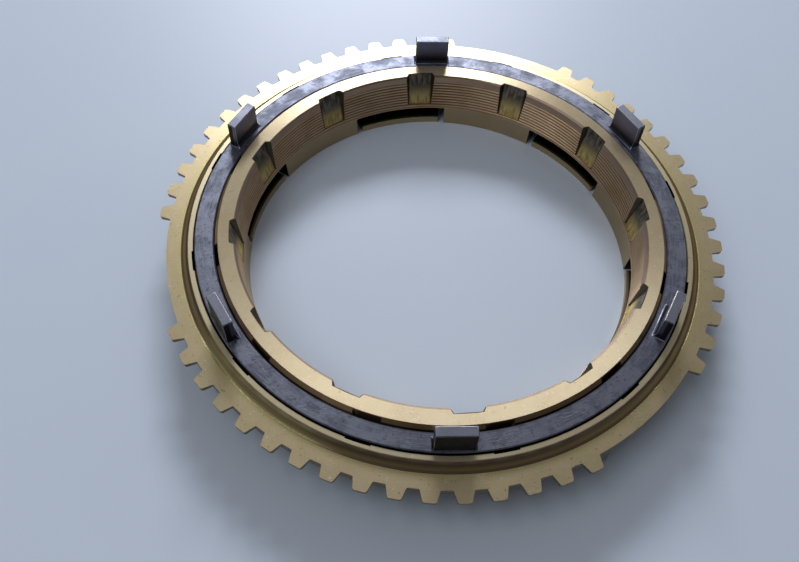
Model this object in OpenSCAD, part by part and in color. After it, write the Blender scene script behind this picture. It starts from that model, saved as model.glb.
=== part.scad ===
// Triple-cone synchronizer ring set: a toothed brass baulk ring, a steel double cone and a brass
// inner ring, nested on one axis. Millimetres. The origin is on the axis, in the plane that the set
// rests on, with +Z towards the gear. Radii are worked out inwards from the teeth, heights upwards
// from the base. The first gap in the teeth is centred half a gap spacing round from +X.

/* [Toothed flange] */
// Outside diameter over the teeth
tooth_tip_d = 132; // [120:0.5:145]
// Radial depth of a tooth
tooth_depth = 2.6; // [1.8:0.1:3.2]
// Evenly spaced tooth places round the rim
tooth_positions = 60; // [48:6:66]
// Tooth places left empty in each gap
teeth_left_out = 4; // [2:2:6]
// Gaps in the row of teeth
gap_count = 3; // [2:1:3]
// Width of a tooth across its tip
tooth_tip_w = 2.7; // [1.8:0.1:3]
// Width of a tooth across its root
tooth_root_w = 4.15; // [3.4:0.05:4.6]
// Radius of a tooth's tip corners
tooth_corner_r = 0.5; // [0.2:0.1:0.8]
// Height of the roof point on the hub side of a tooth
tooth_roof_h = 1.35; // [0.4:0.05:1.6]
// Chamfer turned round the tips of the teeth on the hub side
tooth_chamfer = 1.5; // [0.6:0.1:1.6]
// Radius of the fillets at a tooth's root
tooth_fillet_r = 0.35; // [0.2:0.05:0.6]
// Distance of a tooth's ridge above the flange's under face
tooth_setback = 0.1; // [0.05:0.05:0.4]
// Thickness of the flange
flange_t = 2.3; // [2:0.1:3.5]
// Radial width of the flange from the collar to the tooth roots
flange_w = 5.1; // [4:0.1:7]
// Height of the flange's flat face above the base
flange_z = 12; // [11:0.1:13]

/* [Collar and body] */
// Height of the collar above the flange face
collar_h = 1.9; // [1.2:0.1:2.6]
// Thickness of the collar's wall at its top
collar_wall = 1.3; // [1.1:0.1:2]
// Width of the hollow slope from the collar's top to the flange
cove_w = 1.7; // [1.2:0.1:2.4]
// Radius of the hollow in that slope
cove_r = 4; // [2.5:0.1:8]
// Depth of the turned relief at the slope's foot
relief_depth = 0.08; // [0.04:0.01:0.15]
// Angle at which the relief rises to the flange face
relief_slope = 20; // [15:1:35]
// Radius of the fillet under the flange
under_flange_r = 1; // [0.4:0.1:2]
// Chamfer round the body's base and the stop lugs
body_chamfer = 0.8; // [0.3:0.1:1.2]
// Thickness of the web and lugs at the base
web_t = 1.9; // [1.5:0.1:2.6]

/* [Stop lugs] */
// Width of each stop lug under the flange
stop_w = 3.9; // [3:0.1:6]
// Height of a stop lug below the flange
stop_h = 7; // [3:0.1:7.6]
// Angle from the middle of a gap to each of its two stop lugs
stop_angle = 11.2; // [6:0.1:14]
// Distance of a stop lug's face inside the root circle
stop_inset = 0.2; // [0.1:0.1:1]

/* [Friction cones] */
// Half angle of all the friction cones
cone_angle = 6; // [5:0.25:7]
// Radial running gap between the friction cones
lining_gap = 0.3; // [0.25:0.05:0.5]
// Clearance between the web and the rings that sit on it and in it
seat_gap = 0.3; // [0.2:0.05:0.6]
// Chamfer on the brass rings' small edges
edge_chamfer = 0.15; // [0.1:0.05:0.25]

/* [Middle ring] */
// Radial thickness of the middle ring
middle_t = 4.4; // [4:0.1:6]
// Height of the middle ring's upper face above the collar
middle_rise = 0.5; // [0.2:0.1:1]
// Chamfer on the middle ring's edges
middle_chamfer = 0.25; // [0.1:0.05:0.4]
// Tabs on the middle ring
tab_count = 6; // [3:1:9]
// Width of a tab
tab_w = 8.5; // [6:0.1:10]
// Radial thickness of a tab
tab_t = 2.2; // [1.6:0.05:2.4]
// Height of a tab above the middle ring
tab_h = 6.8; // [4:0.1:9]
// Distance of a tab's outer face inside the outer cone
tab_inset = 0.6; // [0.5:0.05:1]
// Radius of the fillets at the two ends of a tab's foot
tab_foot_r = 0.8; // [0.3:0.1:1]
// Radius of the fillet at a tab's inner foot
tab_toe_r = 1.3; // [0.3:0.1:1.6]
// Chamfer on a tab's upper edges
tab_chamfer = 0.15; // [0.1:0.05:0.4]
// Angle of the first tab
tab_turn = 19.5; // [0:0.1:60]

/* [Inner ring] */
// Radial thickness of the inner ring
inner_t = 4.7; // [4.2:0.1:6]
// Height of the inner ring's upper face above the middle ring
inner_rise = 0.9; // [0.4:0.1:1.6]
// Chamfer on the inner ring's upper outer edge
inner_chamfer = 0.85; // [0.3:0.05:1]
// Chamfer on the inner ring's upper inner edge
bore_chamfer = 0.3; // [0.1:0.05:0.4]
// Slots in the inner cone
slot_count = 12; // [6:1:16]
// Width of a slot at its mouth, on the ring's upper face
slot_mouth_w = 7.3; // [6.6:0.1:8.5]
// Width of a slot at its floor
slot_floor_w = 5.9; // [4:0.1:6.3]
// Depth of a slot at its upper end
slot_depth = 1.2; // [0.8:0.05:1.6]
// Depth of a slot at its lower end, where its drafted floor runs out
slot_foot_depth = 0.3; // [0.1:0.05:0.7]
// Length of a slot from the upper face
slot_len = 8.9; // [6:0.1:9.2]
// Angle of the first slot
slot_turn = 23.3; // [0:0.1:30]

/* [Oil grooves] */
// Oil grooves in each brass friction cone
groove_count = 12; // [6:6:18]
// Width of an oil groove in the outer ring's cone
outer_groove_w = 5.4; // [3:0.1:8]
// Width of an oil groove in the inner ring's cone
inner_groove_w = 6.2; // [3:0.1:8]
// Depth of an oil groove in the outer ring's cone
outer_groove_depth = 0.4; // [0.2:0.05:0.7]
// Depth of an oil groove in the inner ring's cone
inner_groove_depth = 0.7; // [0.3:0.05:0.9]

/* [Lugs and windows] */
// Lugs on the web, each in a window of the inner ring
lug_count = 6; // [3:1:8]
// Angle that a lug spans
lug_angle = 26.4; // [15:0.1:30]
// Angle of play between a lug and each side of its window
lug_play = 1.9; // [1.8:0.1:3]
// Distance of a lug's tip outside the inner cone's small end
lug_inset = 0.2; // [0.1:0.1:1]
// Height of a window above its lug
window_rise = 3.1; // [1.8:0.1:3.4]

/* [Hidden] */
$fn = 180;

// Overlap of joined solids and reach of cutters past a face
lap = 1;
// Depth that a tab's foot fillets sink into the middle ring
tab_sink = 0.1;
// Depth that a tooth's root fillets sink into the flange
root_sink = 0.02;
// Steps in each small arc, and in a tooth's root fillets
arc_steps = 6;
fillet_steps = 3;

tooth_tip_r = tooth_tip_d / 2;
tooth_root_r = tooth_tip_r - tooth_depth;
tooth_pitch = 360 / tooth_positions;
group_positions = tooth_positions / gap_count;
ridge_z = flange_z - flange_t + tooth_setback;

flange_under_z = flange_z - flange_t;
collar_r = tooth_root_r - flange_w;
collar_z = flange_z + collar_h;
cove_foot_r = collar_r + cove_w;
relief_r = cove_foot_r + relief_depth / tan(relief_slope);

stop_r = tooth_root_r - stop_inset;
stop_span = stop_w / stop_r * 180 / PI;
stop_z = flange_under_z - stop_h;

middle_base_z = web_t + seat_gap;
middle_z = collar_z + middle_rise;
tab_z = middle_z + tab_h;
inner_z = middle_z + inner_rise;
window_h = web_t + window_rise;
window_angle = lug_angle + 2 * lug_play;

// Radius of each friction cone at height z, from the outer ring inwards
function cone_r(z) = collar_r - collar_wall + (z - collar_z) * tan(cone_angle);
function middle_outer_r(z) = cone_r(z) - lining_gap;
function middle_inner_r(z) = middle_outer_r(z) - middle_t;
function inner_outer_r(z) = middle_inner_r(z) - lining_gap;
function inner_bore_r(z) = inner_outer_r(z) - inner_t;

outer_groove_span = outer_groove_w / cone_r(collar_z) * 180 / PI;
inner_groove_span = inner_groove_w / inner_outer_r(inner_z) * 180 / PI;
web_bore_r = inner_outer_r(web_t) + seat_gap;
lug_tip_r = inner_bore_r(0) + lug_inset;
tab_outer_x = middle_outer_r(middle_z) - tab_inset;
tab_inner_x = tab_outer_x - tab_t;
// The inner foot fillet stays on the middle ring's upper face
toe_r = min(tab_toe_r, tab_inner_x - middle_inner_r(middle_z) - middle_chamfer);

// Points of an arc about a centre, from one angle to another
function arc(centre, r, from, to, steps = arc_steps) =
    [for (i = [0:steps]) let (a = from + (to - from) * i / steps)
        centre + r * [cos(a), sin(a)]];

// Points of a hollow slope from its foot up to its top, with the arc's centre above it on the right
function hollow(foot, top, r) =
    let (chord = top - foot,
         across = [chord.y, -chord.x] / norm(chord),
         centre = (foot + top) / 2 + across * sqrt(r ^ 2 - (norm(chord) / 2) ^ 2))
    arc(centre, r, atan2(foot.y - centre.y, foot.x - centre.x),
        atan2(top.y - centre.y, top.x - centre.x));

// Copies its children evenly round the axis
module around(count, turn = 0) {
    for (i = [0:count - 1]) rotate([0, 0, turn + i * 360 / count]) children();
}

// Revolves a section through an angle that is centred on +X
module sector(span) {
    rotate([0, 0, -span / 2]) rotate_extrude(angle = span) children();
}

// Section of the outer ring without its teeth, lugs and grooves
module outer_section() {
    polygon(concat(
        [[web_bore_r, 0], [collar_r - body_chamfer, 0], [collar_r, body_chamfer]],
        arc([collar_r + under_flange_r, flange_under_z - under_flange_r], under_flange_r, 180, 90),
        [[tooth_root_r, flange_under_z], [tooth_root_r, flange_z], [relief_r, flange_z]],
        hollow([cove_foot_r, flange_z - relief_depth], [collar_r, collar_z - edge_chamfer], cove_r),
        [[collar_r - edge_chamfer, collar_z],
         [cone_r(collar_z) + edge_chamfer, collar_z],
         [cone_r(collar_z - edge_chamfer), collar_z - edge_chamfer],
         [cone_r(web_t), web_t], [web_bore_r, web_t]]));
}

// Plan of one tooth on +X, with rounded tip corners and root fillets
module tooth_plan() {
    tip_y = tooth_tip_w / 2;
    root_y = tooth_root_w / 2;
    flank = atan((root_y - tip_y) / tooth_depth);
    // The corner circle touches the tip and the flank
    corner_x = tooth_tip_r - tooth_corner_r;
    corner_y = tip_y - tooth_corner_r * tan(45 - flank / 2);
    // The fillet circle touches the flank and dips just below the root circle
    fillet_x = sqrt(tooth_root_r ^ 2 - (root_y + tooth_fillet_r) ^ 2) - root_sink + tooth_fillet_r;
    fillet_y = root_y - (fillet_x - tooth_root_r) * tan(flank) + tooth_fillet_r / cos(flank);
    polygon(concat(
        [[tooth_root_r - lap, -fillet_y]],
        arc([fillet_x, -fillet_y], tooth_fillet_r, 180, 90 + flank, fillet_steps),
        arc([corner_x, -corner_y], tooth_corner_r, flank - 90, 0),
        arc([corner_x, corner_y], tooth_corner_r, 0, 90 - flank),
        arc([fillet_x, fillet_y], tooth_fillet_r, 270 - flank, 180, fillet_steps),
        [[tooth_root_r - lap, fillet_y]]));
}

// Section of a tooth across its width, with the roof point downwards
module tooth_roof() {
    half = tooth_root_w / 2 + 2 * tooth_fillet_r;
    shoulder_z = ridge_z + half * tooth_roof_h / (tooth_root_w / 2);
    polygon([[0, ridge_z], [half, shoulder_z], [half, flange_z + lap],
             [-half, flange_z + lap], [-half, shoulder_z]]);
}

module tooth() {
    intersection() {
        translate([0, 0, flange_under_z]) linear_extrude(flange_t) tooth_plan();
        translate([tooth_root_r - 2 * lap, 0, 0])
            rotate([90, 0, 90]) linear_extrude(tooth_depth + 3 * lap) tooth_roof();
    }
}

// Chamfer that is turned off the tips of all the teeth on the hub side
module tip_chamfer() {
    near_r = tooth_tip_r - tooth_chamfer;
    far_r = tooth_tip_r + lap;
    rotate_extrude() polygon([
        [near_r, flange_under_z - lap], [far_r, flange_under_z - lap],
        [far_r, flange_under_z + far_r - near_r], [near_r, flange_under_z]]);
}

// Groups of teeth with a gap in the middle of each group's share of the rim
module teeth() {
    for (i = [0:tooth_positions - 1])
        if (abs(i % group_positions - (group_positions - 1) / 2) > teeth_left_out / 2)
            rotate([0, 0, (i + 0.5) * tooth_pitch]) tooth();
}

// Lug under the flange that stops the ring against the hub
module stop_lug() {
    sector(stop_span) polygon([
        [collar_r - collar_wall / 2, stop_z], [stop_r - body_chamfer, stop_z],
        [stop_r, stop_z + body_chamfer], [stop_r, flange_under_z + flange_t / 2],
        [collar_r - collar_wall / 2, flange_under_z + flange_t / 2]]);
}

module stop_lugs() {
    around(gap_count, 180 / gap_count)
        for (side = [-1, 1]) rotate([0, 0, side * stop_angle]) stop_lug();
}

// Lug that reaches inwards from the web into a window of the inner ring
module drive_lug() {
    sector(lug_angle) translate([lug_tip_r, 0]) square([web_bore_r + lap - lug_tip_r, web_t]);
}

// Oil groove cut outwards from the outer ring's friction cone
module outer_groove() {
    top_z = collar_z + lap;
    sector(outer_groove_span) polygon([
        [cone_r(web_t) - lap, web_t], [cone_r(web_t) + outer_groove_depth, web_t],
        [cone_r(top_z) + outer_groove_depth, top_z], [cone_r(top_z) - lap, top_z]]);
}

module outer_ring() color([0.80, 0.70, 0.47]) {
    difference() {
        union() {
            rotate_extrude() outer_section();
            teeth();
            stop_lugs();
            around(lug_count, 180 / lug_count) drive_lug();
        }
        around(groove_count) outer_groove();
        tip_chamfer();
    }
}

module middle_section() {
    c = middle_chamfer;
    polygon([
        [middle_inner_r(middle_base_z) + c, middle_base_z],
        [middle_outer_r(middle_base_z) - c, middle_base_z],
        [middle_outer_r(middle_base_z + c), middle_base_z + c],
        [middle_outer_r(middle_z - c), middle_z - c],
        [middle_outer_r(middle_z) - c, middle_z],
        [middle_inner_r(middle_z) + c, middle_z],
        [middle_inner_r(middle_z - c), middle_z - c],
        [middle_inner_r(middle_base_z + c), middle_base_z + c]]);
}

// Tab seen along the ring's rim: chamfered top, fillet at the inner foot
module tab_side() {
    polygon(concat(
        [[tab_outer_x, middle_z - lap], [tab_outer_x, tab_z - tab_chamfer],
         [tab_outer_x - tab_chamfer, tab_z], [tab_inner_x + tab_chamfer, tab_z],
         [tab_inner_x, tab_z - tab_chamfer]],
        arc([tab_inner_x - toe_r, middle_z + toe_r - tab_sink], toe_r, 0, -90),
        [[tab_inner_x - toe_r, middle_z - lap]]));
}

// Tab seen from the axis: chamfered upper corners, fillets at both ends of the foot
module tab_front() {
    half = tab_w / 2;
    foot_z = middle_z + tab_foot_r - tab_sink;
    polygon(concat(
        [[-half - tab_foot_r, middle_z - lap], [half + tab_foot_r, middle_z - lap]],
        arc([half + tab_foot_r, foot_z], tab_foot_r, 270, 180),
        [[half, tab_z - tab_chamfer], [half - tab_chamfer, tab_z],
         [-half + tab_chamfer, tab_z], [-half, tab_z - tab_chamfer]],
        arc([-half - tab_foot_r, foot_z], tab_foot_r, 0, -90)));
}

module tab() {
    width = tab_w + 2 * tab_foot_r;
    intersection() {
        translate([0, width / 2 + lap, 0]) rotate([90, 0, 0]) linear_extrude(width + 2 * lap) tab_side();
        translate([tab_inner_x - toe_r - lap, 0, 0])
            rotate([90, 0, 90]) linear_extrude(tab_t + toe_r + 2 * lap) tab_front();
    }
}

module middle_ring() color([0.26, 0.27, 0.30]) {
    rotate_extrude() middle_section();
    around(tab_count, tab_turn) tab();
}

module inner_section() {
    polygon([
        [inner_bore_r(edge_chamfer), edge_chamfer], [inner_bore_r(0) + edge_chamfer, 0],
        [inner_outer_r(0) - edge_chamfer, 0], [inner_outer_r(edge_chamfer), edge_chamfer],
        [inner_outer_r(inner_z - inner_chamfer), inner_z - inner_chamfer],
        [inner_outer_r(inner_z) - inner_chamfer, inner_z],
        [inner_bore_r(inner_z) + bore_chamfer, inner_z],
        [inner_bore_r(inner_z - bore_chamfer), inner_z - bore_chamfer]]);
}

// Slot with sloping sides and a drafted floor, cut into the inner cone from its upper edge
module slot() {
    floor_x = inner_bore_r(inner_z) + slot_depth;
    foot_x = inner_bore_r(inner_z - slot_len) + slot_foot_depth;
    tilt = atan((floor_x - foot_x) / slot_len);
    reach = slot_depth + lap;
    mouth_y = slot_floor_w / 2 + reach * (slot_mouth_w - slot_floor_w) / 2 / slot_depth;
    translate([floor_x, 0, inner_z]) rotate([0, tilt, 0])
        translate([0, 0, -slot_len / cos(tilt)]) linear_extrude(slot_len / cos(tilt) + lap)
            polygon([[-reach, -mouth_y], [0, -slot_floor_w / 2],
                     [0, slot_floor_w / 2], [-reach, mouth_y]]);
}

// Oil groove cut inwards from the inner ring's outer cone
module inner_groove() {
    top_z = inner_z + lap;
    sector(inner_groove_span) polygon([
        [inner_outer_r(-lap) - inner_groove_depth, -lap], [inner_outer_r(-lap) + lap, -lap],
        [inner_outer_r(top_z) + lap, top_z], [inner_outer_r(top_z) - inner_groove_depth, top_z]]);
}

// Window in the lower edge, through the whole wall
module window() {
    near_r = inner_bore_r(0) - lap;
    far_r = inner_outer_r(window_h) + lap;
    sector(window_angle) translate([near_r, -lap]) square([far_r - near_r, window_h + lap]);
}

module inner_ring() color([0.78, 0.67, 0.43]) {
    difference() {
        rotate_extrude() inner_section();
        around(slot_count, slot_turn) slot();
        around(groove_count) inner_groove();
        around(lug_count, 180 / lug_count) window();
    }
}

outer_ring();
middle_ring();
inner_ring();
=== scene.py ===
"""Looks of the three nested synchronizer rings: brass and dark steel finishes, the inner ring's thread,
the photograph's camera and soft studio light."""
import math

import bmesh
import bpy
from mathutils import Matrix, Vector


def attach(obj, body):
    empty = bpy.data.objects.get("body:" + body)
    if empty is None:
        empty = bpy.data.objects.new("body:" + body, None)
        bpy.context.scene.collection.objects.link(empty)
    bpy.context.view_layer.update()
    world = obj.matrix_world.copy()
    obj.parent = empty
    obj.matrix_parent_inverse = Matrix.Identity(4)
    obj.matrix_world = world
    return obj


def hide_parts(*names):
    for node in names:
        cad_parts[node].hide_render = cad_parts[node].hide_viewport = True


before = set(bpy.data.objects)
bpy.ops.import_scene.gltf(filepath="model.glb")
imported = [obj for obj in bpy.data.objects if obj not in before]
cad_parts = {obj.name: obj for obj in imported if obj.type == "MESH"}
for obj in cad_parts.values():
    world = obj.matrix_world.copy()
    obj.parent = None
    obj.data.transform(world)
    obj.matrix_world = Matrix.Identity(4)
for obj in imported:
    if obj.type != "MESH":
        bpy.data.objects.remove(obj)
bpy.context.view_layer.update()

# Lengths are in millimetres and angles in degrees, where no other unit is given
MM = 0.001

# Photograph's camera, with the focal length in the photograph's pixels
IMAGE_W = 799
FOCAL_PX = 842.3
SENSOR_W = 36.0
VIEW_TURN = -13.94
VIEW_ELEVATION = 56.53
VIEW_ROLL = 2.71
VIEW_DISTANCE = 189.58
VIEW_AIM = (-9.02, -15.33, 12.0)
CLIP_START = 10.0

# Inner ring, as the solid has it
CONE_SLOPE = math.tan(math.radians(6))
INNER_TOP = 15.3
INNER_T = 4.7
BORE_BASE_R = 45.839
EDGE_CHAMFER = 0.15
INNER_CHAMFER = 0.85
BORE_CHAMFER = 0.3

# Small round from the inner ring's top to the bore's chamfer, and the narrow row that keeps the top flat
EDGE_ROUND = 0.08
EDGE_STEPS = 3
EDGE_SUPPORT = 0.03

# Slots, oil grooves and windows of the inner ring
SLOT_COUNT = 12
SLOT_TURN = 23.3
SLOT_MOUTH_W = 7.3
SLOT_FLOOR_W = 5.9
SLOT_DEPTH = 1.2
SLOT_FLARE = (SLOT_MOUTH_W - SLOT_FLOOR_W) / 2 / SLOT_DEPTH
SLOT_FOOT_DEPTH = 0.3
SLOT_LEN = 8.9
GROOVE_COUNT = 12
GROOVE_W = 6.2
GROOVE_DEPTH = 0.7
WINDOW_COUNT = 6
WINDOW_ANGLE = 30.2
WINDOW_H = 5.0
# How far the cuts reach past the ring's faces, and the longest step of their arcs
LAP = 1.0
SWEEP_STEP = 1.5

# Fine thread on the inner cone: its crests lie on the cone and its grooves go into the wall
THREAD_PITCH = 0.87
THREAD_TURNS = 10
THREAD_HIGH = 13.62
THREAD_DEPTH = 0.27
THREAD_FACING = 76
ROWS_PER_PITCH = 12
COLUMNS = 480
# Half width of the thread's groove and width of its flank, as shares of the pitch
THREAD_HALF_SHARE = 0.3
THREAD_FLANK_SHARE = 0.2

# Outer ring, as the solid has it
FLANGE_FACE = 12.0
COLLAR_TOP = 13.9
COLLAR_R = 58.3
COVE_FOOT_R = 60.0
LUG_TIP_R = 46.04

# Stretch of the cove with a painted golden glint: its middle, how far to each side it is full, and where it
# ends
GLINT_TURN = 216.0
GLINT_FULL = 9.0
GLINT_END = 23.4

# Steel ring and its tabs, as the solid has them, and the small bevels that catch the light on the tabs
STEEL_TOP = 14.4
TAB_TOP = 21.2
TAB_MID_R = 55.05
TAB_EDGE_FOOT = STEEL_TOP + 0.2
TAB_EDGE_ANGLE = 40
TAB_BEVEL = 0.11
TAB_BEVEL_STEPS = 2

# Edges sharper than these angles stay crisp, on the solids and on the threaded ring
SOLID_CRISP_ANGLE = 16
THREADED_CRISP_ANGLE = 40
WELD_GAP = 0.001


def bore_r(z):
    return BORE_BASE_R + z * CONE_SLOPE


def outer_r(z):
    return bore_r(z) + INNER_T


def smooth(value):
    """Smooth step of a value that is first held between 0 and 1."""
    t = min(max(value, 0.0), 1.0)
    return t * t * (3 - 2 * t)


# Meshes

def new_object(name, data):
    made = bpy.data.objects.new(name, data)
    bpy.context.scene.collection.objects.link(made)
    return made


def new_mesh(name, points, faces):
    """Mesh in metres from points in millimetres."""
    mesh = bpy.data.meshes.new(name)
    mesh.from_pydata([(x * MM, y * MM, z * MM) for x, y, z in points], [], faces)
    return mesh


def outward(mesh):
    """Turns a closed mesh's faces outwards."""
    work = bmesh.new()
    work.from_mesh(mesh)
    bmesh.ops.recalc_face_normals(work, faces=work.faces)
    work.to_mesh(mesh)
    work.free()
    return mesh


def smooth_by_angle(mesh, degrees):
    """Smooth shading, with edges sharper than the angle kept crisp."""
    work = bmesh.new()
    work.from_mesh(mesh)
    for face in work.faces:
        face.smooth = True
    for edge in work.edges:
        edge.smooth = edge.calc_face_angle(math.pi) < math.radians(degrees)
    work.to_mesh(mesh)
    work.free()


def applied(piece):
    """The piece's mesh with its modifiers, as a mesh of its own."""
    bpy.context.view_layer.update()
    return bpy.data.meshes.new_from_object(piece.evaluated_get(bpy.context.evaluated_depsgraph_get()))


def thread_depth(z, angle):
    """How far the thread's groove lies below the cone at a height and at an angle in radians."""
    turns = (THREAD_HIGH - z) / THREAD_PITCH + (angle - math.radians(THREAD_FACING)) / math.tau
    off_centre = abs(turns % 1 - 0.5)
    groove = smooth((THREAD_HALF_SHARE - off_centre) / THREAD_FLANK_SHARE)
    run_in = smooth((THREAD_HIGH - z) / THREAD_PITCH)
    run_out = smooth((z - THREAD_HIGH) / THREAD_PITCH + THREAD_TURNS)
    return THREAD_DEPTH * groove * run_in * run_out


def lathe(name, rows, columns):
    """Closed ring from rows of radius functions and heights, in order round the section."""
    points = []
    for radius, z in rows:
        for column in range(columns):
            angle = math.tau * column / columns
            r = radius(angle)
            points.append((r * math.cos(angle), r * math.sin(angle), z))
    faces = []
    for row in range(len(rows)):
        here = row * columns
        there = (row + 1) % len(rows) * columns
        for column in range(columns):
            after = (column + 1) % columns
            faces.append((here + column, here + after, there + after, there + column))
    return new_mesh(name, points, faces)


def threaded_rows():
    """Section of the inner ring: outer cone upwards, over the top and down the threaded bore."""
    def plain(r):
        return lambda angle: r

    def threaded(z):
        return lambda angle: bore_r(z) + thread_depth(z, angle)

    top = INNER_TOP
    rows = [
        (plain(bore_r(0) + EDGE_CHAMFER), 0.0),
        (plain(outer_r(0) - EDGE_CHAMFER), 0.0),
        (plain(outer_r(EDGE_CHAMFER)), EDGE_CHAMFER),
        (plain(outer_r(top - INNER_CHAMFER)), top - INNER_CHAMFER),
        (plain(outer_r(top) - INNER_CHAMFER), top),
    ]
    round_start = bore_r(top) + BORE_CHAMFER + EDGE_ROUND * math.tan(math.pi / 8)
    rows.append((plain(round_start + EDGE_SUPPORT), top))
    for step in range(EDGE_STEPS + 1):
        turn = math.pi / 4 * step / EDGE_STEPS
        r = round_start - EDGE_ROUND * math.sin(turn)
        rows.append((plain(r), top - EDGE_ROUND * (1 - math.cos(turn))))
    rows.append((plain(bore_r(top - BORE_CHAMFER)), top - BORE_CHAMFER))
    for step in range(THREAD_TURNS * ROWS_PER_PITCH + 1):
        z = THREAD_HIGH - step * THREAD_PITCH / ROWS_PER_PITCH
        rows.append((threaded(z), z))
    rows.append((plain(bore_r(EDGE_CHAMFER)), EDGE_CHAMFER))
    return rows


def prism(low, high):
    """Points and faces of a solid between two outlines with the same number of points."""
    count = len(low)
    faces = [tuple(reversed(range(count))), tuple(range(count, 2 * count))]
    for i in range(count):
        j = (i + 1) % count
        faces.append((i, j, count + j, count + i))
    return low + high, faces


def slot_cutter():
    """Slot with sloping sides and a drafted floor that runs out down the cone."""
    floor_x = bore_r(INNER_TOP) + SLOT_DEPTH
    foot_x = bore_r(INNER_TOP - SLOT_LEN) + SLOT_FOOT_DEPTH
    tilt = math.atan2(floor_x - foot_x, SLOT_LEN)
    reach = SLOT_DEPTH + LAP
    floor_y = SLOT_FLOOR_W / 2
    mouth_y = floor_y + reach * SLOT_FLARE
    plan = [(-reach, -mouth_y), (0, -floor_y), (0, floor_y), (-reach, mouth_y)]
    place = Matrix.Translation((floor_x, 0, INNER_TOP)) @ Matrix.Rotation(tilt, 4, "Y")
    low = [place @ Vector((x, y, -SLOT_LEN / math.cos(tilt))) for x, y in plan]
    high = [place @ Vector((x, y, LAP)) for x, y in plan]
    return prism(low, high)


def sector_cutter(span, section):
    """Solid swept from a section of radius and height through an angle centred on +X."""
    steps = max(2, math.ceil(span / SWEEP_STEP))
    points, faces = [], []
    count = len(section)
    for step in range(steps + 1):
        angle = math.radians(span * (step / steps - 0.5))
        points += [(r * math.cos(angle), r * math.sin(angle), z) for r, z in section]
    for step in range(steps):
        here = step * count
        there = here + count
        for i in range(count):
            j = (i + 1) % count
            faces.append((here + i, here + j, there + j, there + i))
    faces.append(tuple(reversed(range(count))))
    faces.append(tuple(range(steps * count, (steps + 1) * count)))
    return points, faces


def groove_cutter():
    """Oil groove along the whole outer cone."""
    span = math.degrees(GROOVE_W / outer_r(INNER_TOP))
    high = INNER_TOP + LAP
    return sector_cutter(span, [
        (outer_r(-LAP) - GROOVE_DEPTH, -LAP), (outer_r(-LAP) + LAP, -LAP),
        (outer_r(high) + LAP, high), (outer_r(high) - GROOVE_DEPTH, high)])


def window_cutter():
    """Window through the lower band, open at the base."""
    near = bore_r(0) - LAP
    far = outer_r(WINDOW_H) + LAP
    return sector_cutter(WINDOW_ANGLE, [(near, -LAP), (far, -LAP), (far, WINDOW_H), (near, WINDOW_H)])


def cutters(name, shape, count, first):
    """Equal cuts round the axis, the first of them at an angle from +X."""
    shape_points, shape_faces = shape
    points, faces = [], []
    for copy in range(count):
        turn = Matrix.Rotation(math.radians(first + copy * 360 / count), 3, "Z")
        start = len(points)
        points += [turn @ Vector(p) for p in shape_points]
        faces += [tuple(start + i for i in face) for face in shape_faces]
    return new_object(name, outward(new_mesh(name, points, faces)))


def threaded_ring():
    """Inner ring with a real thread, in place of the plain cone of the solid."""
    name = "inner_ring_threaded"
    ring = new_object(name, outward(lathe(name, threaded_rows(), COLUMNS)))
    cuts = (cutters("slots", slot_cutter(), SLOT_COUNT, SLOT_TURN),
            cutters("oil_grooves", groove_cutter(), GROOVE_COUNT, 0.0),
            cutters("windows", window_cutter(), WINDOW_COUNT, 180 / WINDOW_COUNT))
    for cut in cuts:
        step = ring.modifiers.new(cut.name, "BOOLEAN")
        step.operation = "DIFFERENCE"
        step.solver = "MANIFOLD"
        step.object = cut
    mesh = applied(ring)
    ring.modifiers.clear()
    ring.data = mesh
    for cut in cuts:
        bpy.data.objects.remove(cut)
    smooth_by_angle(mesh, THREADED_CRISP_ANGLE)
    return ring


def compare(tree, operation, value, level):
    """Geometry nodes test of a value against a level."""
    test = tree.nodes.new("FunctionNodeCompare")
    test.operation = operation
    test.inputs["B"].default_value = level
    tree.links.new(value, test.inputs["A"])
    return test.outputs[0]


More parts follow.
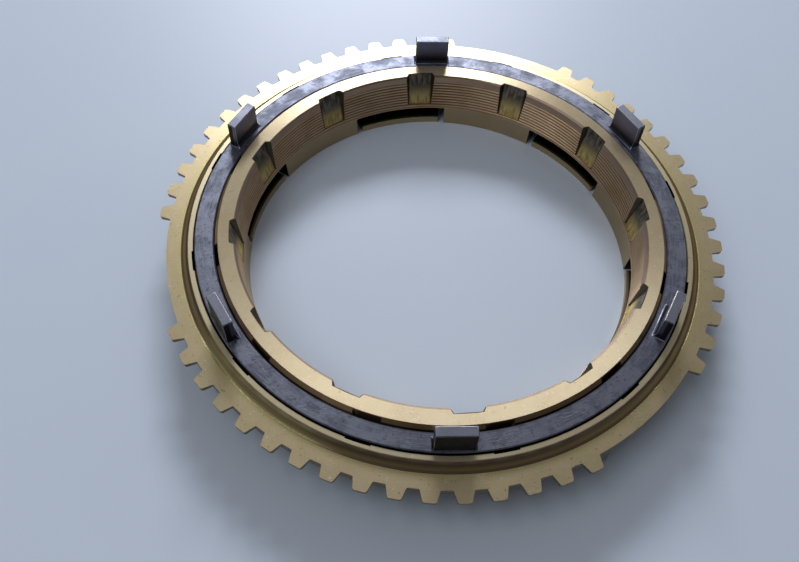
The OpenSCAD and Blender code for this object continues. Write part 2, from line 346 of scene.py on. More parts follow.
def weld_group():
    """Joins a solid's faces at their edges, shades its curved faces smoothly and marks the tabs' edges."""
    tree = bpy.data.node_groups.new("weld_and_mark", "GeometryNodeTree")
    tree.interface.new_socket("Geometry", in_out="INPUT", socket_type="NodeSocketGeometry")
    tree.interface.new_socket("Geometry", in_out="OUTPUT", socket_type="NodeSocketGeometry")
    start = tree.nodes.new("NodeGroupInput")
    forget = tree.nodes.new("GeometryNodeRemoveAttribute")
    forget.inputs["Name"].default_value = "custom_normal"
    weld = tree.nodes.new("GeometryNodeMergeByDistance")
    weld.inputs["Distance"].default_value = WELD_GAP * MM
    faces = tree.nodes.new("GeometryNodeSetShadeSmooth")
    edges = tree.nodes.new("GeometryNodeSetShadeSmooth")
    edges.domain = "EDGE"
    mark = tree.nodes.new("GeometryNodeStoreNamedAttribute")
    mark.domain = "EDGE"
    mark.inputs["Name"].default_value = "bevel_weight_edge"
    end = tree.nodes.new("NodeGroupOutput")
    chain = (start, forget, weld, faces, edges, mark, end)
    for before, after in zip(chain, chain[1:]):
        tree.links.new(before.outputs[0], after.inputs["Geometry"])
    angle = tree.nodes.new("GeometryNodeInputMeshEdgeAngle").outputs["Unsigned Angle"]
    shallow = compare(tree, "LESS_THAN", angle, math.radians(SOLID_CRISP_ANGLE))
    tree.links.new(shallow, edges.inputs["Shade Smooth"])
    axes = tree.nodes.new("ShaderNodeSeparateXYZ")
    tree.links.new(tree.nodes.new("GeometryNodeInputPosition").outputs[0], axes.inputs[0])
    on_tab = tree.nodes.new("FunctionNodeBooleanMath")
    on_tab.operation = "AND"
    above_foot = compare(tree, "GREATER_THAN", axes.outputs["Z"], TAB_EDGE_FOOT * MM)
    tree.links.new(above_foot, on_tab.inputs[0])
    steep = compare(tree, "GREATER_THAN", angle, math.radians(TAB_EDGE_ANGLE))
    tree.links.new(steep, on_tab.inputs[1])
    tree.links.new(on_tab.outputs[0], mark.inputs["Value"])
    return tree


def tab_edges(piece):
    """Small rounded edges on the steel tabs, in the piece's second material."""
    bevel = piece.modifiers.new("edges", "BEVEL")
    bevel.width = TAB_BEVEL * MM
    bevel.segments = TAB_BEVEL_STEPS
    bevel.limit_method = "WEIGHT"
    bevel.use_clamp_overlap = False
    bevel.harden_normals = True
    bevel.material = 1


# Shader helpers

def add(tree, kind, inputs=None, **settings):
    """Adds a shader node; each input is a socket to link or a plain value."""
    made = tree.nodes.new("ShaderNode" + kind)
    for name, value in settings.items():
        setattr(made, name, value)
    for key, value in (inputs or {}).items():
        if isinstance(value, bpy.types.NodeSocket):
            tree.links.new(value, made.inputs[key])
        else:
            made.inputs[key].default_value = value
    return made


def calc(tree, operation, a, b=0.0, c=0.0):
    return add(tree, "Math", {0: a, 1: b, 2: c}, operation=operation).outputs[0]


def both(tree, a, b):
    """Mask of where two masks hold, or a mask at a share of its strength."""
    return calc(tree, "MULTIPLY", a, b)


def ramp(tree, value, low, high, out_low=0.0, out_high=1.0):
    """Smooth step of a value from one level to another."""
    made = add(tree, "MapRange", {"Value": value, "From Min": low, "From Max": high,
                                  "To Min": out_low, "To Max": out_high}, interpolation_type="SMOOTHSTEP")
    return made.outputs[0]


def between(tree, value, low, high, soft):
    """Mask of a value that lies between two levels, with soft ends."""
    up = ramp(tree, value, low - soft, low + soft)
    down = ramp(tree, value, high + soft, high - soft)
    return both(tree, up, down)


def noise(tree, place, scale, detail, roughness=0.5):
    return add(tree, "TexNoise", {"Vector": place, "Scale": scale, "Detail": detail,
                                  "Roughness": roughness}).outputs[0]


def mix(tree, factor, a, b):
    """Mixes two colours."""
    return add(tree, "Mix", {0: factor, 6: a, 7: b}, data_type="RGBA").outputs[2]


def rgb(red, green, blue):
    return (red, green, blue, 1.0)


# Effects that the finishes share

def group_tree(name, inputs, outputs):
    """New shader group with values going in and out; returns its tree and its input and output nodes."""
    tree = bpy.data.node_groups.new(name, "ShaderNodeTree")
    for label, value in inputs.items():
        socket = tree.interface.new_socket(label, in_out="INPUT", socket_type="NodeSocketFloat")
        socket.default_value = value
    for label in outputs:
        tree.interface.new_socket(label, in_out="OUTPUT", socket_type="NodeSocketFloat")
    return tree, tree.nodes.new("NodeGroupInput"), tree.nodes.new("NodeGroupOutput")


def use(tree, group, **values):
    """Places a group in a material with its own values, and returns what it puts out."""
    return add(tree, "Group", values, node_tree=group).outputs


def polar_group():
    """Radius and height on the ring in millimetres, and the turn round its axis from 0 to 1."""
    tree, _, end = group_tree("ring_polar", {}, ("Radius", "Height", "Turn"))
    place = add(tree, "TexCoord").outputs["Object"]
    axes = add(tree, "SeparateXYZ", {0: place}).outputs
    squares = calc(tree, "MULTIPLY_ADD", axes[0], axes[0], calc(tree, "MULTIPLY", axes[1], axes[1]))
    radius = calc(tree, "MULTIPLY", calc(tree, "SQRT", squares), 1 / MM)
    height = calc(tree, "MULTIPLY", axes[2], 1 / MM)
    turn = calc(tree, "DIVIDE", calc(tree, "ARCTAN2", axes[1], axes[0]), math.tau)
    tree.links.new(radius, end.inputs["Radius"])
    tree.links.new(height, end.inputs["Height"])
    tree.links.new(calc(tree, "FRACT", turn), end.inputs["Turn"])
    return tree


def turned_group(polar):
    """Fine lines that a lathe leaves round the axis."""
    tree, start, end = group_tree("turned_lines", {"Spacing": 0.2, "Streak": 6.0}, ("Lines",))
    ring = use(tree, polar)
    along = calc(tree, "ADD", ring["Radius"], ring["Height"])
    across = calc(tree, "DIVIDE", along, start.outputs["Spacing"])
    angle = calc(tree, "MULTIPLY", ring["Turn"], math.tau)
    x = calc(tree, "MULTIPLY", calc(tree, "COSINE", angle), start.outputs["Streak"])
    y = calc(tree, "MULTIPLY", calc(tree, "SINE", angle), start.outputs["Streak"])
    spot = add(tree, "CombineXYZ", {0: across, 1: x, 2: y}).outputs[0]
    tree.links.new(noise(tree, spot, 1.0, 2.0), end.inputs["Lines"])
    return tree


# Specks and pits come from a noise coarser than the grain, at this share of its scale, with soft edges
COARSE_SHARE = 0.41
SPECK_SOFT = 0.06
PIT_SOFT = 0.05


def grain_group():
    """Fine grain, bright specks and dark pits of a blasted or worn metal face."""
    tree, start, end = group_tree("metal_grain", {"Size": 0.25, "Specks": 0.66, "Pits": 0.33},
                                  ("Grain", "Specks", "Pits"))
    place = add(tree, "TexCoord").outputs["Object"]
    per_metre = calc(tree, "DIVIDE", 1 / MM, start.outputs["Size"])
    tree.links.new(noise(tree, place, per_metre, 3.0, 0.6), end.inputs["Grain"])
    coarse = noise(tree, place, calc(tree, "MULTIPLY", per_metre, COARSE_SHARE), 2.0)
    speck_top = calc(tree, "ADD", start.outputs["Specks"], SPECK_SOFT)
    tree.links.new(ramp(tree, coarse, start.outputs["Specks"], speck_top), end.inputs["Specks"])
    pit_foot = calc(tree, "SUBTRACT", start.outputs["Pits"], PIT_SOFT)
    tree.links.new(ramp(tree, coarse, start.outputs["Pits"], pit_foot), end.inputs["Pits"])
    return tree


# Directions of the scratches in radians, each with how far it is drawn out, and the patches' soft edge
SCRATCH_RUNS = ((0.5, 14.0), (2.1, 18.0), (1.25, 11.0))
PATCH_SOFT = 0.12


def scratch_group():
    """Sparse hair scratches in a few directions, kept to patches."""
    tree, start, end = group_tree("hair_scratches", {"Length": 8.0, "Width": 0.012, "Patches": 0.5},
                                  ("Scratches",))
    place = add(tree, "TexCoord").outputs["Object"]
    per_metre = calc(tree, "DIVIDE", 1 / MM, start.outputs["Length"])
    total = 0.0
    for turn, stretch in SCRATCH_RUNS:
        turned = add(tree, "Mapping", {"Vector": place, "Rotation": (0.0, 0.0, turn),
                                       "Scale": (1.0, stretch, 1.0)}).outputs[0]
        lines = noise(tree, turned, per_metre, 1.0)
        away = calc(tree, "ABSOLUTE", calc(tree, "SUBTRACT", lines, 0.5))
        total = calc(tree, "MAXIMUM", total, ramp(tree, away, start.outputs["Width"], 0.0))
    patch_top = calc(tree, "ADD", start.outputs["Patches"], PATCH_SOFT)
    kept = ramp(tree, noise(tree, place, per_metre, 2.0), start.outputs["Patches"], patch_top)
    tree.links.new(both(tree, total, kept), end.inputs["Scratches"])
    return tree


def stain_group():
    """Broad cloudy change of tone."""
    tree, start, end = group_tree("cloudy_stain", {"Size": 9.0, "Low": 0.4, "High": 0.65}, ("Stain",))
    place = add(tree, "TexCoord").outputs["Object"]
    clouds = noise(tree, place, calc(tree, "DIVIDE", 1 / MM, start.outputs["Size"]), 4.0, 0.6)
    tree.links.new(ramp(tree, clouds, start.outputs["Low"], start.outputs["High"]), end.inputs["Stain"])
    return tree


def metal(name):
    """New material with a metallic shader; returns the material, its tree and the shader."""
    made = bpy.data.materials.new(name)
    made.use_nodes = True
    shader = made.node_tree.nodes["Principled BSDF"]
    shader.inputs["Metallic"].default_value = 1.0
    return made, made.node_tree, shader


def finish_metal(tree, shader, colour, roughness, height, bump):
    """Links a finish to its shader, with a fine relief of the given depth."""
    tree.links.new(colour, shader.inputs["Base Color"])
    tree.links.new(roughness, shader.inputs["Roughness"])
    relief = add(tree, "Bump", {"Height": height, "Strength": 1.0, "Distance": bump * MM})
    tree.links.new(relief.outputs[0], shader.inputs["Normal"])


# Outer ring's finish

FLANGE_TAN = rgb(0.725, 0.58, 0.345)
FLANGE_OLIVE = rgb(0.655, 0.53, 0.29)
FLANGE_GRAIN = rgb(0.83, 0.70, 0.43)
FLANGE_PIT = rgb(0.30, 0.22, 0.12)
FLANGE_MARK = rgb(0.95, 0.88, 0.70)
# Olive tone beside the cove, with painted shade of the collar
LAND_OLIVE_AND_SHADE = rgb(0.65, 0.545, 0.235)
COLLAR_TAN = rgb(0.77, 0.655, 0.42)
COVE_BROWN = rgb(0.52, 0.38, 0.20)
COVE_OLIVE = rgb(0.47, 0.37, 0.15)
# Painted shade and painted golden glint of the cove, its foot and its lip
COVE_PAINTED_SHADE = rgb(0.15, 0.105, 0.075)
COVE_PAINTED_GLINT = rgb(0.80, 0.68, 0.32)
FOOT_SHADE_BROWN = rgb(0.31, 0.215, 0.13)
FOOT_PAINTED_GLINT = rgb(1.0, 0.90, 0.48)
LIP_SHADE_BROWN = rgb(0.24, 0.18, 0.09)
LIP_PAINTED_GLINT = rgb(0.95, 0.82, 0.40)
# Painted shade below the flange's face
FLANK_PAINTED_SHADE = rgb(0.17, 0.135, 0.085)
# Painted shade in the cavity behind the other rings
CAVITY_PAINTED_SHADE = rgb(0.06, 0.048, 0.032)
LUG_TIP_BRASS = rgb(0.46, 0.36, 0.20)


def cove_finish(tree, ring, stain):
    """Brown cove with painted shade, darkest below the collar and darker at the foot and lip, and a painted
    golden glint on one stretch; returns its colour, its mask and its change of roughness."""
    radius = ring["Radius"]
    cove = both(tree, between(tree, radius, COLLAR_R - 0.1, COVE_FOOT_R + 0.18, 0.03),
                between(tree, ring["Height"], FLANGE_FACE - 0.3, COLLAR_TOP - 0.16, 0.03))
    colour = mix(tree, stain, COVE_BROWN, COVE_OLIVE)
    # Painted shade, darkest below the collar
    shade = ramp(tree, radius, COVE_FOOT_R - 0.7, COVE_FOOT_R - 1.4, 0.0, 0.88)
    colour = mix(tree, shade, colour, COVE_PAINTED_SHADE)
    # Painted golden glint on one stretch of the cove round the axis
    off_glint = calc(tree, "ABSOLUTE", calc(tree, "SUBTRACT", ring["Turn"], GLINT_TURN / 360))
    painted_glint = ramp(tree, off_glint, GLINT_END / 360, GLINT_FULL / 360)
    colour = mix(tree, both(tree, painted_glint, 0.42), colour, COVE_PAINTED_GLINT)
    # The foot is painted darker brown as painted shade, and bright gold as a painted glint on the stretch
    foot = both(tree, ramp(tree, radius, COVE_FOOT_R - 0.5, COVE_FOOT_R - 0.25), cove)
    colour = mix(tree, foot, colour, mix(tree, painted_glint, FOOT_SHADE_BROWN, FOOT_PAINTED_GLINT))
    # The lip is painted darker brown as painted shade, and gold as a painted glint on the stretch
    lip = both(tree, ramp(tree, radius, COVE_FOOT_R - 0.1, COVE_FOOT_R - 0.03), cove)
    colour = mix(tree, lip, colour, mix(tree, painted_glint, LIP_SHADE_BROWN, LIP_PAINTED_GLINT))
    change = calc(tree, "MULTIPLY", cove, -0.08)
    change = calc(tree, "MULTIPLY_ADD", both(tree, foot, painted_glint), -0.12, change)
    change = calc(tree, "MULTIPLY_ADD", lip, ramp(tree, painted_glint, 0.0, 1.0, 0.4, 0.15), change)
    return colour, cove, change


def outer_brass(effects):
    """Matt tan flange, olive by the cove with painted shade of the collar, a brown cove with painted shade
    and a painted glint, and painted shade below the flange's face and inside behind the other rings.
    """
    made, tree, shader = metal("outer_brass_finish")
    ring = use(tree, effects["polar"])
    radius = ring["Radius"]
    height = ring["Height"]
    grain = use(tree, effects["grain"], Size=0.3, Specks=0.69, Pits=0.32)
    stain = use(tree, effects["stain"], Size=7.0)["Stain"]
    scratch = use(tree, effects["scratch"], Length=7.0, Patches=0.6)["Scratches"]
    colour = mix(tree, stain, FLANGE_TAN, FLANGE_OLIVE)
    # Olive and darker beside the cove: olive tone and painted shade of the collar
    land_tone_and_shade = both(tree, ramp(tree, radius, COVE_FOOT_R + 2.2, COVE_FOOT_R + 0.3),
                ramp(tree, height, COLLAR_TOP - 0.1, COLLAR_TOP - 0.3, 0.0, 0.75))
    colour = mix(tree, land_tone_and_shade, colour, LAND_OLIVE_AND_SHADE)
    collar = both(tree, ramp(tree, radius, COLLAR_R - 0.05, COLLAR_R - 0.15),
                  ramp(tree, height, COLLAR_TOP - 0.1, COLLAR_TOP - 0.02))
    colour = mix(tree, collar, colour, COLLAR_TAN)
    colour = mix(tree, ramp(tree, grain["Grain"], 0.35, 0.65, 0.0, 0.4), colour, FLANGE_GRAIN)
    colour = mix(tree, both(tree, grain["Pits"], 0.6), colour, FLANGE_PIT)
    marks = calc(tree, "MAXIMUM", scratch, grain["Specks"])
    colour = mix(tree, both(tree, marks, 0.7), colour, FLANGE_MARK)
    cove_colour, cove, cove_change = cove_finish(tree, ring, stain)
    colour = mix(tree, cove, colour, cove_colour)
    # Everything below the flange's face, the teeth's flanks among it, is darkened as painted shade
    flank_shade = ramp(tree, height, FLANGE_FACE - 0.1, FLANGE_FACE - 0.4, 0.0, 0.9)
    colour = mix(tree, flank_shade, colour, FLANK_PAINTED_SHADE)
    # Inside behind the other rings, painted near black as painted shade, with the lugs' tips kept brass
    cavity_shade = both(tree, ramp(tree, radius, COLLAR_R - 0.7, COLLAR_R - 1.0),
                   ramp(tree, height, COLLAR_TOP - 0.1, COLLAR_TOP - 0.3))
    lug_tips = ramp(tree, radius, LUG_TIP_R + 0.86, LUG_TIP_R + 0.36)
    colour = mix(tree, cavity_shade, colour, mix(tree, lug_tips, CAVITY_PAINTED_SHADE, LUG_TIP_BRASS))
    rough = calc(tree, "MULTIPLY_ADD", grain["Grain"], 0.08, 0.33)
    rough = calc(tree, "ADD", rough, cove_change)
    finish_metal(tree, shader, colour, rough, grain["Grain"], bump=0.007)
    return made


# Steel ring's finishes

STEEL_BLUE = rgb(0.235, 0.247, 0.295)
STEEL_DARK = rgb(0.125, 0.132, 0.163)
STEEL_LINE = rgb(0.30, 0.312, 0.355)
STEEL_PIT = rgb(0.07, 0.072, 0.085)
STEEL_SCRATCH = rgb(0.55, 0.57, 0.62)
# Painted shade on the walls and at the tabs' inner toes
STEEL_WALL_PAINTED_SHADE = rgb(0.022, 0.022, 0.028)
TAB_TOE_PAINTED_SHADE = rgb(0.045, 0.046, 0.065)
TAB_INSIDE = rgb(0.21, 0.215, 0.31)
TAB_TOP_DARK = rgb(0.18, 0.186, 0.22)
TAB_TOP_PALE = rgb(0.345, 0.355, 0.40)
OUTER_EDGE_DARK = rgb(0.22, 0.225, 0.25)
OUTER_EDGE_PALE = rgb(0.44, 0.45, 0.48)
# Painted highlight on the tabs' edges towards the axis
INNER_EDGE_HIGHLIGHT_DARK = rgb(0.47, 0.48, 0.52)
INNER_EDGE_HIGHLIGHT_PALE = rgb(0.80, 0.81, 0.85)


def dark_steel(effects):
    """Blue-grey hardened steel, mottled and scratched, with the walls and the tabs' walls painted blacker
    as painted shade.
    """
    made, tree, shader = metal("dark_steel_finish")
    ring = use(tree, effects["polar"])
    height = ring["Height"]
    grain = use(tree, effects["grain"], Size=0.3, Pits=0.385)
    lines = use(tree, effects["turned"], Spacing=0.25, Streak=14.0)["Lines"]
    stain = use(tree, effects["stain"], Size=4.0, Low=0.38, High=0.6)["Stain"]
    scratch = use(tree, effects["scratch"], Length=9.0, Width=0.009, Patches=0.48)["Scratches"]
    colour = mix(tree, stain, STEEL_BLUE, STEEL_DARK)
    colour = mix(tree, ramp(tree, lines, 0.4, 0.7, 0.0, 0.45), colour, STEEL_LINE)
    colour = mix(tree, both(tree, grain["Pits"], 0.55), colour, STEEL_PIT)
    colour = mix(tree, both(tree, scratch, 0.4), colour, STEEL_SCRATCH)
    # Walls below the ring's top and the tabs' walls are painted near black as painted shade; towards the
    # axis they are bluish grey above and painted darker down to the toe as painted shade
    sides = calc(tree, "MAXIMUM", ramp(tree, height, STEEL_TOP - 0.2, STEEL_TOP - 0.6),
                 between(tree, height, STEEL_TOP + 0.1, TAB_TOP - 0.12, 0.03))
    inside = mix(tree, ramp(tree, height, STEEL_TOP + 0.6, STEEL_TOP + 2.6), TAB_TOE_PAINTED_SHADE, TAB_INSIDE)
    inwards = ramp(tree, ring["Radius"], TAB_MID_R + 0.25, TAB_MID_R - 0.15)
    colour = mix(tree, both(tree, sides, 0.95), colour, mix(tree, inwards, STEEL_WALL_PAINTED_SHADE, inside))
    tab_tops = ramp(tree, height, TAB_TOP - 0.08, TAB_TOP - 0.03, 0.0, 0.7)
    colour = mix(tree, tab_tops, colour, mix(tree, grain["Grain"], TAB_TOP_DARK, TAB_TOP_PALE))
    rough = calc(tree, "MULTIPLY_ADD", stain, 0.1, 0.42)
    finish_metal(tree, shader, colour, rough, grain["Grain"], bump=0.006)
    return made


def steel_edge(effects):
    """Worn edges of the tabs, painted bright as a highlight on the side towards the axis."""
    made, tree, shader = metal("steel_edge_finish")
    ring = use(tree, effects["polar"])
    grain = use(tree, effects["grain"], Size=0.8)["Grain"]
    outer = mix(tree, grain, OUTER_EDGE_DARK, OUTER_EDGE_PALE)
    # The edges towards the axis are painted paler, as a painted highlight
    inner = mix(tree, grain, INNER_EDGE_HIGHLIGHT_DARK, INNER_EDGE_HIGHLIGHT_PALE)
    inwards = ramp(tree, ring["Radius"], TAB_MID_R - 0.15, TAB_MID_R - 0.55)
    rough = calc(tree, "MULTIPLY_ADD", grain, 0.15, 0.34)
    finish_metal(tree, shader, mix(tree, inwards, outer, inner), rough, grain, bump=0.003)
    return made


# Inner ring's finish

TOP_PALE = rgb(0.82, 0.67, 0.41)
TOP_TAN = rgb(0.77, 0.61, 0.36)
TOP_GRAIN = rgb(0.88, 0.75, 0.51)
TOP_PIT = rgb(0.40, 0.29, 0.16)
TOP_MARK = rgb(0.96, 0.90, 0.74)
SLOT_EDGE_DARK = rgb(0.10, 0.08, 0.055)
# Painted shade on the top's rim by the bore
RIM_PAINTED_SHADE = rgb(0.40, 0.30, 0.19)
BORE_GOLD = rgb(0.62, 0.44, 0.27)
BORE_BROWN = rgb(0.54, 0.375, 0.215)
# Painted shade in the thread's grooves
THREAD_ROOT_PAINTED_SHADE = rgb(0.26, 0.15, 0.08)
UPPER_BAND = rgb(0.385, 0.27, 0.20)
LOWER_BAND = rgb(0.42, 0.34, 0.20)
BACK_BROWN = rgb(0.36, 0.235, 0.13)
BACK_OLIVE = rgb(0.31, 0.215, 0.11)
# Painted shade at the windows' ends
WINDOW_END_PAINTED_SHADE = rgb(0.035, 0.028, 0.02)
SLOT_BLACK = rgb(0.09, 0.078, 0.062)
SLOT_GREY = rgb(0.28, 0.245, 0.19)
SLOT_OCHRE = rgb(0.48, 0.365, 0.125)
SLOT_GOLD = rgb(0.79, 0.63, 0.29)
# Painted shade in the slots' corners and on their sides
SLOT_CORNER_PAINTED_SHADE = rgb(0.05, 0.045, 0.035)
SLOT_SIDE_PAINTED_SHADE = rgb(0.14, 0.11, 0.075)

# Smears in the slots: how many there are round the ring, how far they run together along the axis, how far
# up and down they reach, and the heights below which the slots are golden and above which they are dark
SMEARS_ROUND = 420.0
SMEAR_STRETCH = 0.3
SMEAR_REACH = 9.0
GOLD_BELOW = 8.5
DARK_ABOVE = 12.0

# Dark line round the slots on the ring's top: how wide it is at full strength, and where it ends
EDGE_LINE_FULL = 0.14
EDGE_LINE_END = 0.26


def beside_slot(tree, ring):
    """Distance to the middle of the nearest slot, round the inner cone's wide end."""
    turn = calc(tree, "MULTIPLY_ADD", ring["Turn"], SLOT_COUNT, 0.5 - SLOT_TURN / 360 * SLOT_COUNT)
    off_centre = calc(tree, "SUBTRACT", calc(tree, "FRACT", turn), 0.5)
    across = calc(tree, "MULTIPLY", off_centre, math.tau / SLOT_COUNT * bore_r(INNER_TOP))
    return calc(tree, "ABSOLUTE", across)


def slot_edge_line(tree, side, depth):
    """Mask of the dark line on the ring's top that follows the slots' outline."""
    behind = calc(tree, "SUBTRACT", depth, SLOT_DEPTH)
    edge = calc(tree, "MULTIPLY_ADD", depth, -SLOT_FLARE, SLOT_MOUTH_W / 2)
    past_side = calc(tree, "SUBTRACT", side, edge)
    return ramp(tree, calc(tree, "MAXIMUM", behind, past_side), EDGE_LINE_END, EDGE_LINE_FULL)


def slot_stain_and_shade(tree, ring, side):
    """Colour of the slots, dark above and smeared golden below, with painted shade in their corners and on
    their sides, and a mask of them.
    """
    height = ring["Height"]
    spot = add(tree, "CombineXYZ", {0: calc(tree, "MULTIPLY", ring["Turn"], SMEARS_ROUND),
                                    1: calc(tree, "MULTIPLY", height, SMEAR_STRETCH)}).outputs[0]
    smears = noise(tree, spot, 1.0, 3.0)
    level = calc(tree, "MULTIPLY_ADD", smears, SMEAR_REACH, calc(tree, "SUBTRACT", height, SMEAR_REACH / 2))
    contrast = ramp(tree, smears, 0.35, 0.65)
    dark = mix(tree, contrast, SLOT_BLACK, SLOT_GREY)
    gold = mix(tree, contrast, SLOT_OCHRE, SLOT_GOLD)
    colour = mix(tree, ramp(tree, level, GOLD_BELOW, DARK_ABOVE), gold, dark)
    floor_y = SLOT_FLOOR_W / 2
    # Darker in the slots' corners and on their side walls: painted shade
    colour = mix(tree, ramp(tree, side, floor_y - 0.35, floor_y - 0.1, 0.0, 0.7), colour, SLOT_CORNER_PAINTED_SHADE)
    colour = mix(tree, ramp(tree, side, floor_y, floor_y + 0.08), colour, SLOT_SIDE_PAINTED_SHADE)
    # The slot narrows downwards, as its floor rises to the cone
    foot = INNER_TOP - SLOT_LEN
    foot_y = floor_y + SLOT_FOOT_DEPTH * SLOT_FLARE
    widening = (SLOT_MOUTH_W / 2 - foot_y) / SLOT_LEN
    mouth_y = calc(tree, "MULTIPLY_ADD", height, widening, foot_y - foot * widening)
    within = ramp(tree, calc(tree, "SUBTRACT", side, mouth_y), 0.06, 0.0)
    return colour, both(tree, within, between(tree, height, foot, INNER_TOP - 0.04, 0.025))


def inner_brass(effects):
    """Pale turned top, golden-brown threaded cone with painted shade in the thread's roots, slots stained
    dark above and golden below with painted shade at their sides, and painted shade on the top's rim by the
    bore and at the windows' ends.
    """
    made, tree, shader = metal("inner_brass_finish")
    shader.inputs["Anisotropic"].default_value = 0.8
    shader.inputs["Anisotropic Rotation"].default_value = 0.25
    round_axis = add(tree, "Tangent", direction_type="RADIAL", axis="Z")
    tree.links.new(round_axis.outputs[0], shader.inputs["Tangent"])
    ring = use(tree, effects["polar"])
    height = ring["Height"]
    grain = use(tree, effects["grain"], Size=0.28, Specks=0.67, Pits=0.31)
    lines = use(tree, effects["turned"], Spacing=0.14)["Lines"]
    stain = use(tree, effects["stain"], Size=6.0)["Stain"]
    scratch = use(tree, effects["scratch"], Length=6.0, Patches=0.58)["Scratches"]
    # Depth below the inner cone, in which the thread's grooves lie
    cone = calc(tree, "MULTIPLY_ADD", height, CONE_SLOPE, BORE_BASE_R)
    depth = calc(tree, "SUBTRACT", ring["Radius"], cone)
    side = beside_slot(tree, ring)
    slot, in_slot = slot_stain_and_shade(tree, ring, side)
    wall = mix(tree, stain, BORE_GOLD, BORE_BROWN)
    # Darker towards the thread's roots: painted shade in its grooves
    wall = mix(tree, ramp(tree, depth, 0.05, THREAD_DEPTH - 0.05), wall, THREAD_ROOT_PAINTED_SHADE)
    wall = mix(tree, ramp(tree, height, THREAD_HIGH - 0.32, THREAD_HIGH + 0.08, 0.0, 0.8), wall, UPPER_BAND)
    wall = mix(tree, ramp(tree, height, WINDOW_H + 0.3, WINDOW_H - 0.2, 0.0, 0.7), wall, LOWER_BAND)
    wall = mix(tree, in_slot, wall, slot)
    on_bore = ramp(tree, depth, SLOT_DEPTH + 0.4, SLOT_DEPTH + 0.2)
    colour = mix(tree, on_bore, mix(tree, stain, BACK_BROWN, BACK_OLIVE), wall)
    # The windows' end walls are painted near black: painted shade in the gaps beside the lugs
    window_end_shade = both(tree, between(tree, height, 0.08, WINDOW_H + 0.1, 0.03),
                       between(tree, depth, 0.25, INNER_T - 0.2, 0.1))
    colour = mix(tree, window_end_shade, colour, WINDOW_END_PAINTED_SHADE)
    top = mix(tree, stain, TOP_PALE, TOP_TAN)
    top = mix(tree, ramp(tree, grain["Grain"], 0.35, 0.65, 0.0, 0.35), top, TOP_GRAIN)
    top = mix(tree, both(tree, grain["Pits"], 0.5), top, TOP_PIT)
    marks = calc(tree, "MAXIMUM", scratch, grain["Specks"])
    top = mix(tree, both(tree, marks, 0.6), top, TOP_MARK)
    top = mix(tree, slot_edge_line(tree, side, depth), top, SLOT_EDGE_DARK)
    # The rim by the bore's chamfer is darkened: painted shade that dims its highlight
    top = mix(tree, ramp(tree, depth, BORE_CHAMFER + 0.18, BORE_CHAMFER + 0.1), top, RIM_PAINTED_SHADE)
    on_top = ramp(tree, height, INNER_TOP - 0.08, INNER_TOP - 0.02)
    rough = calc(tree, "MULTIPLY_ADD", grain["Grain"], 0.1, 0.32)
    rough = calc(tree, "MULTIPLY_ADD", in_slot, 0.2, rough)
    relief = calc(tree, "MULTIPLY_ADD", lines, 0.4, grain["Grain"])
    finish_metal(tree, shader, mix(tree, on_top, colour, top), rough, relief, bump=0.007)
    return made


def dress_rings():
    """Gives the two solids their finishes, and puts the threaded ring in the inner ring's place."""
    polar = polar_group()
    effects = {"polar": polar, "turned": turned_group(polar), "grain": grain_group(),
               "scratch": scratch_group(), "stain": stain_group()}
    welded = weld_group()
    for node, finishes in (("outer_ring", (outer_brass,)), ("middle_ring", (dark_steel, steel_edge))):
        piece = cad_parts[node]
        piece.data.materials.clear()
        for finish in finishes:
            piece.data.materials.append(finish(effects))
        piece.modifiers.new("weld", "NODES").node_group = welded
    tab_edges(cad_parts["middle_ring"])
    ring = threaded_ring()
    ring.data.materials.clear()
    ring.data.materials.append(inner_brass(effects))
    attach(ring, "inner_ring")
    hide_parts("inner_ring")


# Floor, light and camera

FLOOR_HALF = 3000.0
FLOOR_CLOUDS_PER_M = 30.0
FLOOR_ROUGHNESS = 0.42
FLOOR_BLUE = rgb(0.79, 0.88, 1.0)
FLOOR_PALE = rgb(0.82, 0.91, 1.0)
SURROUND_NEAR = rgb(0.07, 0.07, 0.075)
SURROUND_FAR = rgb(0.21, 0.215, 0.23)


def pale_floor():
    half = FLOOR_HALF
    corners = [(-half, -half, 0), (half, -half, 0), (half, half, 0), (-half, half, 0)]
    mesh = new_mesh("pale_floor", corners, [(0, 1, 2, 3)])
    floor = new_object("pale_floor", mesh)
    made = bpy.data.materials.new("floor_paint")
    made.use_nodes = True
    tree = made.node_tree
    shader = tree.nodes["Principled BSDF"]
    shader.inputs["Roughness"].default_value = FLOOR_ROUGHNESS
    clouds = noise(tree, add(tree, "TexCoord").outputs["Object"], FLOOR_CLOUDS_PER_M, 3.0)
    tree.links.new(mix(tree, clouds, FLOOR_BLUE, FLOOR_PALE), shader.inputs["Base Color"])
    mesh.materials.append(made)


def view_frame():
    """The photograph's axes: +Y away from the camera along the floor, at the ring's axis."""
    return Matrix.Rotation(math.radians(VIEW_TURN), 4, "Z")


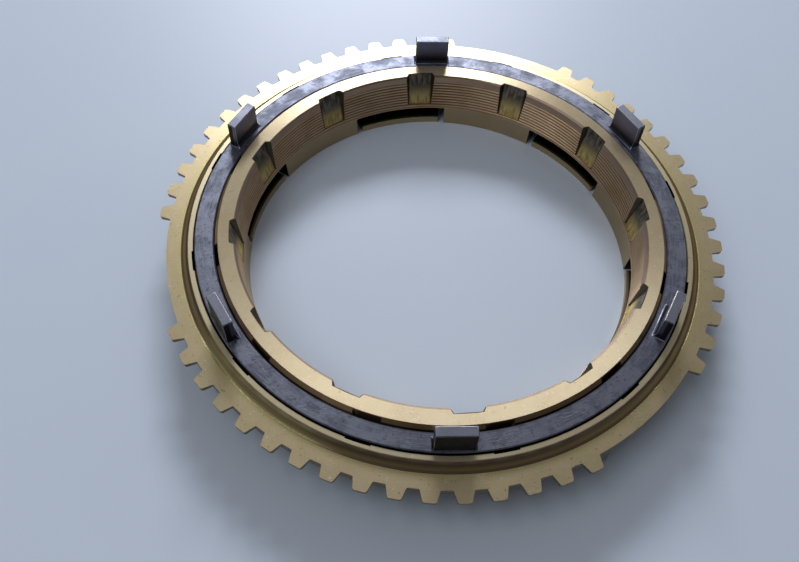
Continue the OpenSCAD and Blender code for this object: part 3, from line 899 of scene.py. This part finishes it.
def photo_camera():
    lens = bpy.data.cameras.new("photo_camera")
    lens.sensor_width = SENSOR_W
    lens.lens = FOCAL_PX / IMAGE_W * SENSOR_W
    lens.clip_start = CLIP_START * MM
    camera = new_object("photo_camera", lens)
    tilt = Matrix.Rotation(math.radians(90 - VIEW_ELEVATION), 4, "X")
    roll = Matrix.Rotation(math.radians(VIEW_ROLL), 4, "Z")
    aim = Matrix.Translation(Vector(VIEW_AIM) * MM)
    back_off = Matrix.Translation((0, 0, VIEW_DISTANCE * MM))
    camera.matrix_world = view_frame() @ aim @ tilt @ roll @ back_off
    bpy.context.scene.camera = camera


def soft_lamp(name, heading, elevation, distance, width, height, power, colour):
    """Area lamp that faces the rings, with lengths in metres and power in watts; the heading is measured
    from the photograph's far side, to the right."""
    lamp = bpy.data.lights.new(name, "AREA")
    lamp.shape = "RECTANGLE"
    lamp.size = width
    lamp.size_y = height
    lamp.energy = power
    lamp.color = colour
    made = new_object(name, lamp)
    turn = Matrix.Rotation(math.radians(-heading), 4, "Z")
    tip = Matrix.Rotation(math.radians(elevation - 90), 4, "X")
    made.matrix_world = view_frame() @ turn @ tip @ Matrix.Translation((0, 0, distance))


def studio_world():
    """Soft surround, brighter on the far side than behind the camera."""
    world = bpy.data.worlds.new("studio")
    bpy.context.scene.world = world
    world.use_nodes = True
    tree = world.node_tree
    back = tree.nodes["Background"]
    way = add(tree, "TexCoord").outputs["Generated"]
    far = view_frame() @ Vector((0, 1, 0))
    along = add(tree, "VectorMath", {0: way, 1: far}, operation="DOT_PRODUCT").outputs["Value"]
    brightness = add(tree, "MapRange", {"Value": along, "From Min": -0.9, "From Max": 0.95}).outputs[0]
    tree.links.new(mix(tree, brightness, SURROUND_NEAR, SURROUND_FAR), back.inputs["Color"])
    back.inputs["Strength"].default_value = 1.0


def light_and_view():
    bpy.context.scene.view_settings.view_transform = "Standard"
    pale_floor()
    photo_camera()
    studio_world()
    soft_lamp("far_window", heading=-4, elevation=33, distance=1.0, width=0.4, height=0.24, power=5.0,
              colour=(0.94, 0.98, 1.10))
    soft_lamp("left_fill", heading=-115, elevation=62, distance=1.0, width=0.6, height=0.6, power=1.5,
              colour=(0.95, 0.99, 1.08))


dress_rings()
light_and_view()
